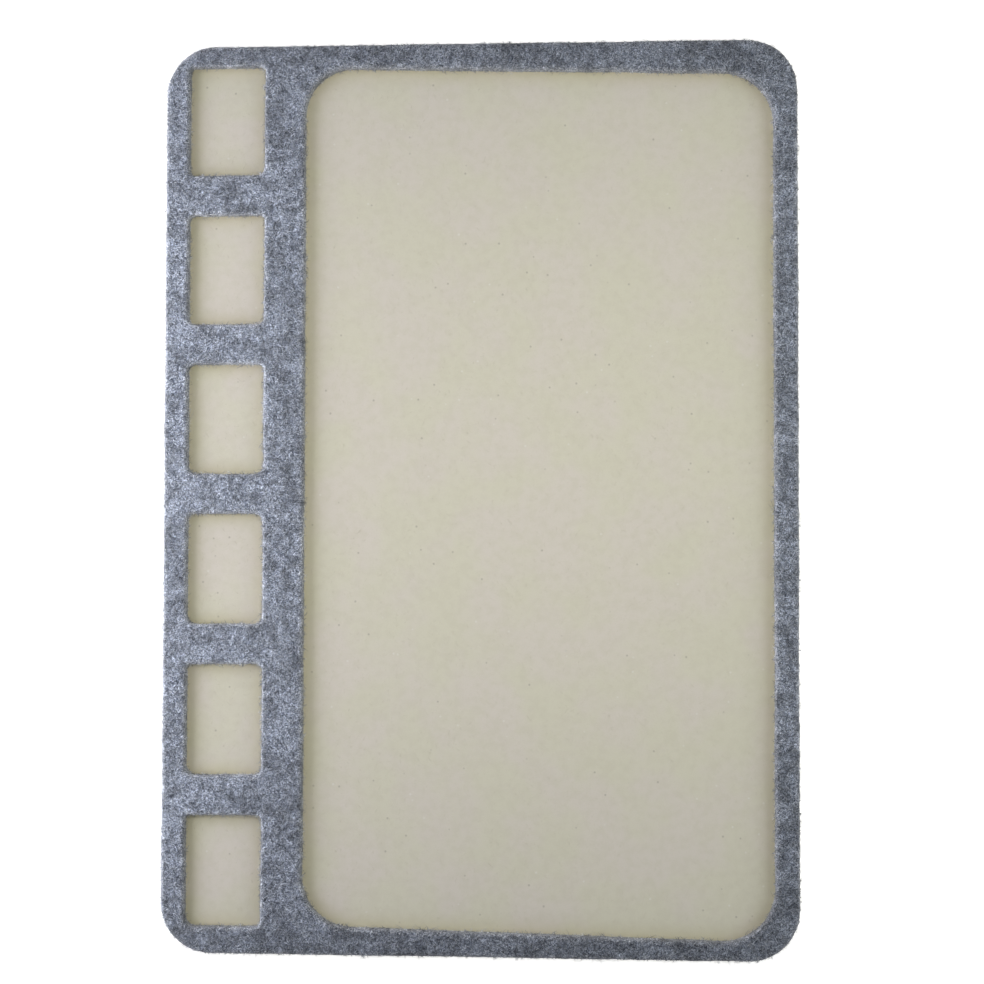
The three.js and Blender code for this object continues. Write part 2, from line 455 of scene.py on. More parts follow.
foam_low, foam_high = (np.array(corner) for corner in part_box("foam_core"))
mat_rim, mat_run = rim_path(mat_sides, mat_radii, RIM_STEP)
outward = slope(mat_distance, *mat_rim.T)
row_share = np.linspace(0, 1, FOAM_ROWS)
row_height = foam_low[2] + row_share * (foam_high[2] - foam_low[2])
torn = lumps(mat_run[None], row_height[:, None], FOAM_CELL, FOAM_CELL_SEED)
torn = torn + FOAM_FINE_SHARE * lumps(mat_run[None], row_height[:, None], FOAM_FINE_CELL, FOAM_FINE_SEED)
inset = FOAM_WAIST * np.sin(math.pi * row_share)[:, None] + FOAM_CELL_DEPTH * np.clip(torn, 0, 1)
edge_rows = at_height(mat_rim - inset[:, :, None] * outward, row_height[:, None])
cap_shares = np.array(FOAM_CAP_SHARES)[:, None, None]
lower_cap = at_height(edge_rows[:1, :, :2] * cap_shares, foam_low[2])
upper_cap = at_height(edge_rows[-1:, :, :2] * cap_shares, foam_high[2])
rows = np.concatenate([lower_cap[::-1], edge_rows, upper_cap])
number = np.arange(rows.shape[0] * len(mat_rim)).reshape(rows.shape[0], -1)
following = np.roll(number, -1, axis=1)
sides_of_foam = np.stack([number[:-1], following[:-1], following[1:], number[1:]], axis=-1).reshape(-1, 4)
middle_row = np.full(len(mat_rim), number.size)
fans = np.vstack([
    np.column_stack([following[0], number[0], middle_row]),
    np.column_stack([number[-1], following[-1], middle_row + 1]),
])
points = np.vstack([rows.reshape(-1, 3), [[0, 0, foam_low[2]], [0, 0, foam_high[2]]]])

foam_finish, tree, shader, place = new_material("cut_foam")
cells = add_node(tree, "ShaderNodeTexVoronoi", {"Vector": place, "Scale": 1 / FOAM_CELL}).outputs["Distance"]
walls = stretch(tree, cells, FOAM_WALL_RANGE)
# Painted shade in the cells' hollows, the foam's own colour on their walls
colour = blend_colours(tree, walls, FOAM_HOLLOW_SHADE, FOAM_PALE)
normal = bumped(tree, walls, FOAM_BUMP_DEPTH, FOAM_BUMP_STRENGTH)
set_inputs(tree, shader, {"Base Color": colour, "Normal": normal, **FOAM_FINISH})
foam_core = add_piece("foam_core_sheet", points, [sides_of_foam, fans], {}, foam_finish)
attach(foam_core, "root")
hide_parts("foam_core")

# Face skin of the work mat
# The cream plush that the beads lie on, bonded to the foam. Its pile stands up in the windows
# and is flattened where the felt frame lies on it, with painted shade along each window's edge.

SIDE_BORDER = 7.4 * MM
WINDOW_UPPER_BORDER = 8.7 * MM
WINDOW_LOWER_BORDER = 7.1 * MM
WINDOW_FALL = 3.4 * MM
DIVIDER_WIDTH = 13 * MM
COMPARTMENT_WIDTH = 24.4 * MM
COMPARTMENT_UPPER_BORDER = 6.5 * MM
COMPARTMENT_LOWER_BORDER = 8.3 * MM
CROSS_BAR_WIDTH = 12.6 * MM
# Corner radii, anticlockwise from the upper right: the dies cut them unevenly
WINDOW_RADII_MM = (16, 15.5, 15.5, 17)
COMPARTMENT_RADII_MM = (
    (1.4, 1.6, 2.0, 3.0),
    (1.8, 2.2, 2.4, 2.2),
    (2.2, 2.4, 2.8, 3.0),
    (3.0, 2.2, 3.2, 2.6),
    (2.2, 2.0, 3.2, 2.8),
    (1.8, 1.8, 3.2, 2.0),
)
PILE_RISE = 0.12 * MM
PILE_RISE_WIDTH = 1.5 * MM
# How far into a window the painted shade along its edge reaches, and how strong it is
PAINTED_SHADE_WIDTH = 7 * MM
PAINTED_SHADE_SHARE = 0.5

mat_left, mat_right, mat_bottom, mat_top = mat_sides
compartment_left = mat_left + SIDE_BORDER
compartment_right = compartment_left + COMPARTMENT_WIDTH
column_top = mat_top - COMPARTMENT_UPPER_BORDER
column_length = column_top - mat_bottom - COMPARTMENT_LOWER_BORDER
compartment_pitch = (column_length + CROSS_BAR_WIDTH) / len(COMPARTMENT_RADII_MM)
work_window = (
    compartment_right + DIVIDER_WIDTH,
    mat_right - SIDE_BORDER,
    mat_bottom + WINDOW_LOWER_BORDER,
    mat_top - WINDOW_UPPER_BORDER,
)
windows = [(work_window, tuple(radius * MM for radius in WINDOW_RADII_MM), WINDOW_FALL)]
for row, radii_mm in enumerate(COMPARTMENT_RADII_MM):
    upper = column_top - row * compartment_pitch
    lower = upper - compartment_pitch + CROSS_BAR_WIDTH
    radii = tuple(radius * MM for radius in radii_mm)
    windows.append(((compartment_left, compartment_right, lower, upper), radii, 0))


def sloped_distance(x, y, sides, radii, fall):
    """Distance to a window whose right side lies lower than its left side by the fall: the slope of its ends
    is taken out of y, and the rest is a rectangle with round corners."""
    left, right, _, _ = sides
    return rounded_distance(x, y + fall * (x - (left + right) / 2) / (right - left), sides, radii)


def window_distance(x, y):
    """Distance to the nearest window's edge, negative inside a window."""
    return np.min([sloped_distance(x, y, *window) for window in windows], axis=0)


def face_height(x, y):
    """Rise of the face's pile: full inside a window, falling to none under the felt."""
    share = np.clip(0.5 - window_distance(x, y) / PILE_RISE_WIDTH, 0, 1)
    return PILE_RISE * soft_step(share) + plush_relief(x, y, 0) * share


face_low, face_high = (np.array(corner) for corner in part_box("plush_face"))
face_profile = shoulder_profile(face_low[2], face_high[2], PLUSH_SHOULDER)
points, faces, flat_map = rolled_sheet(mat_distance, mat_sides, PLUSH_PITCH, face_profile)
on_top = points[:, 2] > face_high[2] - PLUSH_SHOULDER / 4
points[on_top, 2] += face_height(points[on_top, 0], points[on_top, 1])
# Painted shade: full under the felt, fading to none at that width inside each window
pressed = np.clip(1 + window_distance(*points[:, :2].T) / PAINTED_SHADE_WIDTH, 0, 1)
wall_shade_map = np.zeros_like(flat_map)
wall_shade_map[..., 0] = (PAINTED_SHADE_SHARE * pressed ** 2)[faces]
face_maps = {"OFBake": flat_map, "pressed": wall_shade_map}
plush_face = add_piece("plush_face_skin", points, [faces], face_maps, plush_material("cream_plush_face"))
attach(plush_face, "root")
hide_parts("plush_face")

# Nap on the face skin
# Longer fibres of the same cream plush that have worked loose and lie combed over the pile in the windows,
# and the pile ends that stand out round the mat's cut rim.

NAP_COUNT = 13000
NAP_SEED = 31
NAP_LENGTH = (0.7 * MM, 2.0 * MM)
NAP_RADIUS = (0.025 * MM, 0.05 * MM)
NAP_RISE = (0.0, 0.1 * MM)
NAP_BEND = 0.5
NAP_SINK = 0.03 * MM
NAP_CLEAR = 0.6 * MM
RIM_PILE_COUNT = 6500
RIM_PILE_LENGTH = (0.25 * MM, 0.7 * MM)
RIM_PILE_RADIUS = (0.03 * MM, 0.06 * MM)
RIM_PILE_ON_FACE = 0.5
RIM_PILE_LEAN = 0.5
RIM_PILE_TILT = 0.25
RIM_PILE_ROOT = 0.1 * MM
RIM_PILE_LOWEST = 0.07 * MM
RIM_PILE_PALEST = 0.8
STRAND_RINGS = 3
STRAND_SIDES = 3
STRAND_END = 0.35
STRAND_FLATNESS = 0.8
# Almost straight up, so that no hair lies along it
NEARLY_UP = (0.02, 0.01, 1.0)
CREAM_FIBRE = (0.80, 0.76, 0.65, 1)
PLUSH_FIBRE_FINISH = {"Roughness": 0.8, "Specular IOR Level": 0.25}


def strand_mesh(paths, radii):
    """Tapered hairs: a triangle of points, ridge up, carried along each path and square to it, thinner
    towards the ends by a sine. Gives the points and triangles of all hairs, and the flat map with one cell
    for each hair."""
    count, rings, _ = paths.shape
    ahead = np.gradient(paths, axis=1)
    ahead /= np.linalg.norm(ahead, axis=2, keepdims=True)
    side = np.cross(ahead, NEARLY_UP)
    side /= np.linalg.norm(side, axis=2, keepdims=True)
    over = np.cross(side, ahead)
    angle = math.pi / 2 + 2 * math.pi * np.arange(STRAND_SIDES) / STRAND_SIDES
    taper = STRAND_END + (1 - STRAND_END) * np.sin(math.pi * np.linspace(0, 1, rings))
    radius = radii[:, None, None, None] * taper[:, None, None]
    section = np.cos(angle)[:, None] * side[:, :, None]
    section = section + STRAND_FLATNESS * np.sin(angle)[:, None] * over[:, :, None]
    points = paths[:, :, None] + radius * section
    number = np.arange(rings * STRAND_SIDES).reshape(rings, STRAND_SIDES)
    beside = np.roll(number, -1, axis=1)
    triangles = np.concatenate([
        np.stack([number[:-1], number[1:], beside[1:]], axis=-1).reshape(-1, 3),
        np.stack([number[:-1], beside[1:], beside[:-1]], axis=-1).reshape(-1, 3),
        number[:1],
        number[-1:, ::-1],
    ])
    columns = math.ceil(math.sqrt(count))
    cell = np.column_stack([np.arange(count) % columns, np.arange(count) // columns])
    inner = np.column_stack([number.ravel() % STRAND_SIDES, number.ravel() // STRAND_SIDES])
    inner = (inner + 1) / (np.array([STRAND_SIDES, rings]) + 1)
    flat_map = (cell[:, None, None] + inner[triangles]) / columns
    first = np.arange(count) * rings * STRAND_SIDES
    return points.reshape(-1, 3), (first[:, None, None] + triangles).reshape(-1, 3), flat_map


def add_strands(name, paths, radii, tints, nearness, material):
    """A piece made of hairs. The map that its material reads holds each hair's own tint, from 0 to 1, and
    how near it is to a cut edge, from 0 far off to 1 on it."""
    points, triangles, flat_map = strand_mesh(paths, radii)
    tint_map = np.empty_like(flat_map)
    tint_map[..., 0] = tints[:, None, None]
    tint_map[..., 1] = nearness[:, None, None]
    return add_piece(name, points, [triangles], {"OFBake": flat_map, "strand": tint_map}, material)


def curved_lines(x, y, heading, length, bend):
    """Flat paths through (x, y): a straight run along the heading, bent to a parabola of that depth. Also
    gives the arch along them, from 0 at both ends to 1 in the middle."""
    share = np.linspace(-0.5, 0.5, STRAND_RINGS)
    run = length[:, None] * share
    swing = length[:, None] * bend[:, None] * share ** 2
    cos, sin = np.cos(heading)[:, None], np.sin(heading)[:, None]
    path_x = x[:, None] + run * cos - swing * sin
    path_y = y[:, None] + run * sin + swing * cos
    return path_x, path_y, 1 - (2 * share) ** 2


def scatter(draw, distance, sides, clear, count):
    """Random points over a rectangle, kept where the distance is under -clear."""
    found = np.empty((0, 2))
    while len(found) < count:
        spots = draw.uniform((sides[0], sides[2]), (sides[1], sides[3]), (count, 2))
        found = np.vstack([found, spots[distance(*spots.T) < -clear]])
    return found[:count].T


fibre_finish, tree, shader, _ = new_material("cream_plush_fibre")
nap = add_node(tree, "ShaderNodeGroup", node_tree=plush_nap)
colour = blend_colours(tree, read_map(tree, "strand")["X"], nap.outputs["Colour"], CREAM_FIBRE)
set_inputs(tree, shader, {"Base Color": colour, **PLUSH_FIBRE_FINISH})

draw = np.random.default_rng(NAP_SEED)
x, y = scatter(draw, window_distance, mat_sides, NAP_CLEAR, NAP_COUNT)
heading = draw.uniform(0, 2 * math.pi, NAP_COUNT)
length = draw.uniform(*NAP_LENGTH, NAP_COUNT)
path_x, path_y, arch = curved_lines(x, y, heading, length, draw.normal(0, NAP_BEND, NAP_COUNT))
path_z = face_high[2] + face_height(path_x, path_y) - NAP_SINK
path_z += draw.uniform(*NAP_RISE, NAP_COUNT)[:, None] * arch
face_nap = add_strands(
    "plush_face_nap",
    np.stack([path_x, path_y, path_z], axis=-1),
    draw.uniform(*NAP_RADIUS, NAP_COUNT),
    draw.uniform(0, 1, NAP_COUNT),
    np.zeros(NAP_COUNT),
    fibre_finish,
)
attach(face_nap, "root")

spots = mat_rim[draw.integers(0, len(mat_rim), RIM_PILE_COUNT)]
outward = slope(mat_distance, *spots.T)
sideways = np.column_stack([-outward[:, 1], outward[:, 0]])
on_face = draw.random(RIM_PILE_COUNT) < RIM_PILE_ON_FACE
height = np.where(
    on_face,
    draw.uniform(face_low[2], face_high[2] - PLUSH_SHOULDER / 2, RIM_PILE_COUNT),
    draw.uniform(back_low[2] + PLUSH_SHOULDER / 2, back_high[2], RIM_PILE_COUNT),
)
length = draw.uniform(*RIM_PILE_LENGTH, RIM_PILE_COUNT)
lean = draw.normal(0, RIM_PILE_LEAN, RIM_PILE_COUNT)
tilt = draw.normal(0, RIM_PILE_TILT, RIM_PILE_COUNT)
run = length[:, None] * np.linspace(0, 1, STRAND_RINGS)
roots = spots - RIM_PILE_ROOT * outward
ahead = outward + lean[:, None] * sideways
flat_path = roots[:, None] + run[:, :, None] * ahead[:, None]
path_z = np.maximum(height[:, None] + run * tilt[:, None], RIM_PILE_LOWEST)
rim_pile = add_strands(
    "plush_rim_pile",
    at_height(flat_path, path_z),
    draw.uniform(*RIM_PILE_RADIUS, RIM_PILE_COUNT),
    draw.uniform(0, RIM_PILE_PALEST, RIM_PILE_COUNT),
    np.ones(RIM_PILE_COUNT),
    fibre_finish,
)
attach(rim_pile, "root")

# Bond web
# The net of hot-melt adhesive that holds the felt down on the plush, ironed flat between the two.
# It stays back from every cut edge, so only a sliver shows in the slit under the felt.

WEB_CELL = 1.6 * MM
WEB_STRAND_RANGE = (0.02, 0.14)
WEB_STRAND = (0.82, 0.81, 0.76, 1)
# Painted shade: the sunken gaps between the net's strands are painted darker
WEB_GAP_SHADE = (0.55, 0.53, 0.47, 1)
WEB_STRAND_ROUGHNESS = 0.4
WEB_GAP_ROUGHNESS = 0.75
WEB_DEPTH = 0.05 * MM
WEB_BUMP_STRENGTH = 1.0


def between(tree, share, low, high):
    """The socket of a value that goes from low to high as share goes from 0 to 1."""
    return combine(tree, "MULTIPLY_ADD", share, high - low, low)


web_finish, tree, shader, place = new_material("hot_melt_web")
web_cells = add_node(
    tree, "ShaderNodeTexVoronoi", {"Vector": place, "Scale": 1 / WEB_CELL}, feature="DISTANCE_TO_EDGE"
)
gap = stretch(tree, web_cells.outputs["Distance"], WEB_STRAND_RANGE)
colour = blend_colours(tree, gap, WEB_STRAND, WEB_GAP_SHADE)
roughness = between(tree, gap, WEB_STRAND_ROUGHNESS, WEB_GAP_ROUGHNESS)
normal = bumped(tree, gap, WEB_DEPTH, WEB_BUMP_STRENGTH, sunken=True)
set_inputs(tree, shader, {"Base Color": colour, "Roughness": roughness, "Normal": normal})
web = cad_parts["frame_bond"]
web.data.materials.clear()
web.data.materials.append(web_finish)

# Felt frame
# One sheet of needle felt, 3 mm thick, punched through with the work window and the six compartments.
# The punch rolls the upper edge of every cut, and fine waves stay in it where the felt gave way.

FELT_SHOULDER = 0.9 * MM
FELT_FOOT = 0.15 * MM
FELT_PITCH = 0.72 * MM
CUT_WAVE = 0.10 * MM
CUT_WAVE_CELL = 11 * MM
CUT_WAVE_SEED = 41
CUT_RIPPLE = 0.07 * MM
CUT_RIPPLE_CELL = 2.1 * MM
CUT_RIPPLE_SEED = 42
FELT_LUMP_HEIGHT = 0.07 * MM
FELT_LUMP_CELL = 3.6 * MM
FELT_LUMP_SEED = 43
FELT_KNOT_HEIGHT = 0.06 * MM
FELT_KNOT_CELL = 1.3 * MM
FELT_KNOT_SEED = 44
FELT_DARK = (0.030, 0.039, 0.064, 1)
FELT_MID = (0.188, 0.214, 0.282, 1)
FELT_LIGHT = (0.485, 0.525, 0.620, 1)
FIBRE_GLINT = (0.86, 0.89, 0.93, 1)
FELT_FIBRE_SIZE = (1.5 * MM, 0.2 * MM, 0.2 * MM)
FELT_FIBRE_TURNS = (0.2, 0.72, 1.25, 1.78, 2.3, 2.85)
FELT_LIGHT_RANGE = (0.52, 0.7)
FELT_DARK_RANGE = (0.56, 0.72)
FELT_BUMP_DEPTH = 0.3 * MM
FELT_BUMP_STRENGTH = 0.9
FELT_FINISH = {
    "Roughness": 0.5,
    "Specular IOR Level": 0.6,
    "Specular Tint": FIBRE_GLINT,
    "Sheen Weight": 0.2,
    "Sheen Roughness": 0.4,
}
# Painted highlight: the felt and its fibres are painted paler and warmer towards every cut edge
EDGE_PAINTED_HIGHLIGHT = (1.15, 1.09, 1.0, 1)
EDGE_HIGHLIGHT_WIDTH = 2.2 * MM
EDGE_HIGHLIGHT_POWER = 2.0
NO_TINT = (1, 1, 1, 1)

felt_low, felt_high = (np.array(corner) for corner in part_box("felt_frame"))


def felt_distance(x, y):
    """Distance to the felt's nearest cut edge, negative in the felt: the mat's outline less the windows,
    with the slow waves and small ripples of the cut added."""
    wave = CUT_WAVE * lumps(x, y, CUT_WAVE_CELL, CUT_WAVE_SEED)
    ripple = CUT_RIPPLE * lumps(x, y, CUT_RIPPLE_CELL, CUT_RIPPLE_SEED)
    return np.maximum(mat_distance(x, y), -window_distance(x, y)) + wave + ripple


def felt_relief(x, y, z):
    """Height of the felt over its mean: soft lumps and small knots of fibre."""
    lump = FELT_LUMP_HEIGHT * lumps(x + z, y - z, FELT_LUMP_CELL, FELT_LUMP_SEED)
    return lump + FELT_KNOT_HEIGHT * lumps(x + z, y - z, FELT_KNOT_CELL, FELT_KNOT_SEED)


# The felt's clouds: pale and dark tufts, a pepper of single fibres, and painted shade at the two ends
CLOUD_SIZE = 2.8 * MM
CLOUD_DETAIL = 3.0
BROAD_CLOUD_SIZE = 9 * MM
BROAD_CLOUD_SHARE = 0.35
CLOUD_RANGE = (0.36, 0.62)
CLOUD_LEVELS = (0.7, 1.26)
PEPPER_SIZE = 0.45 * MM
PEPPER_DETAIL = 2.0
PEPPER_RANGE = (0.3, 0.7)
PEPPER_LEVELS = (0.56, 1.44)
# Painted light and shade: the felt is painted paler around this place along its length and darker towards
# both ends
FELT_PAINTED_LIGHT_PLACE = 4 * MM
FELT_MIDDLE_PAINTED_LIGHT = 0.06
FELT_END_PAINTED_SHADE = 0.29
FELT_END_POWER = 6.0
tree, clouds_out, place = new_effect("felt_clouds_and_painted_shade", {"Shade": "NodeSocketFloat"})
small_cloud = speckle(tree, place, CLOUD_SIZE, CLOUD_DETAIL)
broad_cloud = speckle(tree, place, BROAD_CLOUD_SIZE)
broad_part = combine(tree, "MULTIPLY", broad_cloud, BROAD_CLOUD_SHARE)
cloud = combine(tree, "MULTIPLY_ADD", small_cloud, 1 - BROAD_CLOUD_SHARE, broad_part)
cloud_level = between(tree, stretch(tree, cloud, CLOUD_RANGE), *CLOUD_LEVELS)
pepper = speckle(tree, place, PEPPER_SIZE, PEPPER_DETAIL)
pepper_level = between(tree, stretch(tree, pepper, PEPPER_RANGE), *PEPPER_LEVELS)
lengthwise = add_node(tree, "ShaderNodeSeparateXYZ", {"Vector": place}).outputs["Y"]
# Painted light and shade along the felt: lighter in the middle, darker towards the two ends
from_pale = combine(tree, "ABSOLUTE", combine(tree, "SUBTRACT", lengthwise, FELT_PAINTED_LIGHT_PLACE))
towards_end = combine(tree, "POWER", from_pale, FELT_END_POWER)
painted_end_fall = -FELT_END_PAINTED_SHADE / mat_top ** FELT_END_POWER
painted_end_level = combine(tree, "MULTIPLY_ADD", towards_end, painted_end_fall, 1 + FELT_MIDDLE_PAINTED_LIGHT)
tuft_level = combine(tree, "MULTIPLY", cloud_level, pepper_level)
shade = combine(tree, "MULTIPLY", tuft_level, painted_end_level)
set_inputs(tree, clouds_out, {"Shade": shade})
felt_clouds_and_painted_shade = tree


def edge_nearness(x, y):
    """Nearness to a cut edge of the felt: 1 on the edge, falling evenly to 0 across the band of painted
    highlight.
    """
    return np.clip(1 + felt_distance(x, y) / EDGE_HIGHLIGHT_WIDTH, 0, 1)


def clouded_with_painted_light(tree, colour, nearness):
    """The socket of a felt colour times its clouds and painted end shade, with a painted highlight near a
    cut edge.
    """
    shade = add_node(tree, "ShaderNodeGroup", node_tree=felt_clouds_and_painted_shade).outputs["Shade"]
    on_edge = combine(tree, "POWER", nearness, EDGE_HIGHLIGHT_POWER)
    # Painted highlight, strongest on the cut edge
    painted_highlight = blend_colours(tree, on_edge, NO_TINT, EDGE_PAINTED_HIGHLIGHT)
    scaled = add_node(tree, "ShaderNodeVectorMath", {0: colour, "Scale": shade}, operation="SCALE")
    factors = {0: scaled.outputs["Vector"], 1: painted_highlight}
    return add_node(tree, "ShaderNodeVectorMath", factors, operation="MULTIPLY").outputs["Vector"]


def strongest(tree, value, *others):
    """The socket of the largest of several values."""
    for other in others:
        value = combine(tree, "MAXIMUM", value, other)
    return value


felt_finish, tree, shader, place = new_material("heather_felt")
streaks = []
for turn in FELT_FIBRE_TURNS:
    turned = add_node(
        tree,
        "ShaderNodeMapping",
        {"Vector": place, "Rotation": (0, 0, turn), "Scale": FELT_FIBRE_SIZE},
        vector_type="TEXTURE",
    )
    streaks.append(speckle(tree, turned.outputs["Vector"], size=1))
pale_fibre = strongest(tree, *streaks[0::2])
dark_fibre = strongest(tree, *streaks[1::2])
light = blend_colours(tree, stretch(tree, pale_fibre, FELT_LIGHT_RANGE), FELT_MID, FELT_LIGHT)
heather = blend_colours(tree, stretch(tree, dark_fibre, FELT_DARK_RANGE), light, FELT_DARK)
colour = clouded_with_painted_light(tree, heather, read_map(tree, "cut_edge")["Y"])
fibre_height = combine(tree, "SUBTRACT", pale_fibre, dark_fibre)
normal = bumped(tree, fibre_height, FELT_BUMP_DEPTH, FELT_BUMP_STRENGTH)
set_inputs(tree, shader, {"Base Color": colour, "Normal": normal, **FELT_FINISH})

felt_profile = shoulder_profile(felt_low[2] + FELT_FOOT, felt_high[2], FELT_SHOULDER)[:-1]
foot = [[FELT_SHOULDER - FELT_FOOT, felt_low[2]], [0, felt_low[2]]]
points, faces, flat_map = rolled_sheet(felt_distance, mat_sides, FELT_PITCH, np.vstack([felt_profile, foot]))
edge_map = np.zeros_like(flat_map)
edge_map[..., 1] = edge_nearness(*points[:, :2].T)[faces]
felt_maps = {"OFBake": flat_map, "cut_edge": edge_map}
felt_frame = add_piece("felt_frame_sheet", points, [faces], felt_maps, felt_finish)
raise_along_normals(
    felt_frame, lambda x, y, z: felt_relief(x, y, z) * np.clip((z - felt_low[2]) / FELT_SHOULDER, 0, 1)
)
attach(felt_frame, "root")
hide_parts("felt_frame")

# Fibres on the felt's face
# The felt is a mix of pale lavender, slate and near-black fibres, needled flat into one another.
# Each shows as a short curved hair whose ends dive back into the sheet.

FACE_FIBRE_PIECES = 3
FACE_FIBRE_COUNT = 13500
FACE_FIBRE_SEED = 51
FACE_FIBRE_LENGTH = (0.7 * MM, 2.0 * MM)
FACE_FIBRE_RADIUS = (0.05 * MM, 0.10 * MM)
FACE_FIBRE_RISE = (0.05 * MM, 0.34 * MM)
FACE_FIBRE_BEND = 0.4
FACE_FIBRE_SINK = 0.05 * MM
FACE_FIBRE_OVERHANG = 0.12 * MM
# Share of the fibres up to each tint, from the darkest to the palest
FIBRE_TINTS = (
    (0.00, (0.021, 0.027, 0.047, 1)),
    (0.15, (0.043, 0.054, 0.088, 1)),
    (0.23, (0.172, 0.197, 0.264, 1)),
    (0.46, (0.330, 0.366, 0.454, 1)),
    (0.58, (0.485, 0.524, 0.620, 1)),
    (1.00, (0.670, 0.705, 0.790, 1)),
)
FIBRE_FINISH = {"Roughness": 0.45, "Specular IOR Level": 0.7, "Specular Tint": FIBRE_GLINT}


def shoulder_drop(past):
    """Fall of the felt's shoulder, a quarter circle, that far past its start."""
    roll = np.clip(past, 0, FELT_SHOULDER)
    return FELT_SHOULDER - np.sqrt(FELT_SHOULDER ** 2 - roll ** 2)


def felt_height(x, y):
    """Height of the felt's upper surface: flat to the rim, a quarter circle over the shoulder, and steeply
    down past the edge."""
    past = felt_distance(x, y) + FELT_SHOULDER
    beyond = np.maximum(past - FELT_SHOULDER, 0)
    return felt_high[2] - shoulder_drop(past) - beyond + felt_relief(x, y, felt_high[2])


hair_finish, tree, shader, _ = new_material("heather_felt_fibre")
own = read_map(tree, "strand")
ramp = add_node(tree, "ShaderNodeValToRGB", {"Fac": own["X"]})
for position, _ in FIBRE_TINTS[1:-1]:
    ramp.color_ramp.elements.new(position)
for stop, (position, tint) in zip(ramp.color_ramp.elements, FIBRE_TINTS):
    stop.position = position
    stop.color = tint
colour = clouded_with_painted_light(tree, ramp.outputs["Color"], own["Y"])
set_inputs(tree, shader, {"Base Color": colour, **FIBRE_FINISH})

face_fibre_sheets = []
middle = STRAND_RINGS // 2
for sheet_number in range(FACE_FIBRE_PIECES):
    draw = np.random.default_rng(FACE_FIBRE_SEED + sheet_number)
    x, y = scatter(draw, felt_distance, mat_sides, 0, FACE_FIBRE_COUNT)
    heading = draw.uniform(0, 2 * math.pi, FACE_FIBRE_COUNT)
    length = draw.uniform(*FACE_FIBRE_LENGTH, FACE_FIBRE_COUNT)
    bend = draw.normal(0, FACE_FIBRE_BEND, FACE_FIBRE_COUNT)
    path_x, path_y, arch = curved_lines(x, y, heading, length, bend)
    past = felt_distance(path_x, path_y)
    worst = past.argmax(axis=1)[:, None]
    worst_x = np.take_along_axis(path_x, worst, 1)[:, 0]
    worst_y = np.take_along_axis(path_y, worst, 1)[:, 0]
    allowed = draw.exponential(FACE_FIBRE_OVERHANG, FACE_FIBRE_COUNT)
    push = np.maximum(past.max(axis=1) - allowed, 0)
    back = slope(felt_distance, worst_x, worst_y)
    path_x = path_x - (push * back[:, 0])[:, None]
    path_y = path_y - (push * back[:, 1])[:, None]
    path_z = felt_height(path_x, path_y) - FACE_FIBRE_SINK
    path_z += draw.uniform(*FACE_FIBRE_RISE, FACE_FIBRE_COUNT)[:, None] * arch
    face_fibres = add_strands(
        f"felt_face_fibres_{sheet_number + 1}",
        np.stack([path_x, path_y, path_z], axis=-1),
        draw.uniform(*FACE_FIBRE_RADIUS, FACE_FIBRE_COUNT),
        draw.random(FACE_FIBRE_COUNT),
        edge_nearness(path_x[:, middle], path_y[:, middle]),
        hair_finish,
    )
    face_fibre_sheets.append(face_fibres)
    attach(face_fibres, "root")

# Fibres on the felt's cut edges
# The same fibres where the punch has sheared them: short lengths lie along the walls, cut stubs stand out of
# them as a fine fuzz, and here and there a whole hair or a small tuft has pulled loose.

EDGE_FIBRE_SEED = 61
WALL_FIBRE_COUNT = 13500
WALL_FIBRE_LENGTH = (0.5 * MM, 1.6 * MM)
WALL_FIBRE_RADIUS = (0.045 * MM, 0.08 * MM)
WALL_FIBRE_RISE = (0.03 * MM, 0.16 * MM)
WALL_FIBRE_LEAN = 0.6
WALL_FIBRE_SINK = 0.04 * MM
FUZZ_ROOT = 0.105 * MM
FUZZ_TINT_POWER = 0.8
STUB_COUNT = 11000
STUB_SHORTEST = 0.3 * MM
STUB_REACH = 0.32 * MM
STUB_LONGEST = 1.4 * MM
STUB_RADIUS = (0.03 * MM, 0.06 * MM)
STUB_SPREAD = 0.8
STUB_CURL = 0.4
LOOSE_COUNT = 700
LOOSE_REACH = (0.5 * MM, 1.9 * MM)
LOOSE_RADIUS = (0.03 * MM, 0.05 * MM)
LOOSE_SPREAD = 0.7
LOOSE_CURL = 0.9
TUFT_COUNT = 500
TUFT_HAIRS = 5
TUFT_REACH = (0.5 * MM, 1.3 * MM)
TUFT_RADIUS = (0.04 * MM, 0.07 * MM)
TUFT_SPREAD = 0.3
TUFT_CURL = 0.4
SHOULDER_NAP_COUNT = 13500
SHOULDER_NAP_SPREAD = 0.8 * MM
SHOULDER_NAP_LIFT = (0.3, 1.0)
SHOULDER_NAP_LEAN = 0.6
SHOULDER_NAP_REACH = (0.3 * MM, 0.75 * MM)
SHOULDER_NAP_SUNK_SHARE = 0.175

draw = np.random.default_rng(EDGE_FIBRE_SEED)
window_rims = [rim_path(sides, radii, RIM_STEP)[0] for sides, radii, _ in windows]
cut_edges = np.vstack([mat_rim, *window_rims])
for _ in range(SNAP_STEPS):
    cut_edges = cut_edges - felt_distance(*cut_edges.T)[:, None] * slope(felt_distance, *cut_edges.T)
cut_outward = slope(felt_distance, *cut_edges.T)


def edge_spots(count):
    """Random places on the felt's cut edges: the point, the way out of the felt and the way along the
    edge."""
    chosen = draw.integers(0, len(cut_edges), count)
    out = cut_outward[chosen]
    return cut_edges[chosen], out, np.column_stack([-out[:, 1], out[:, 0]])


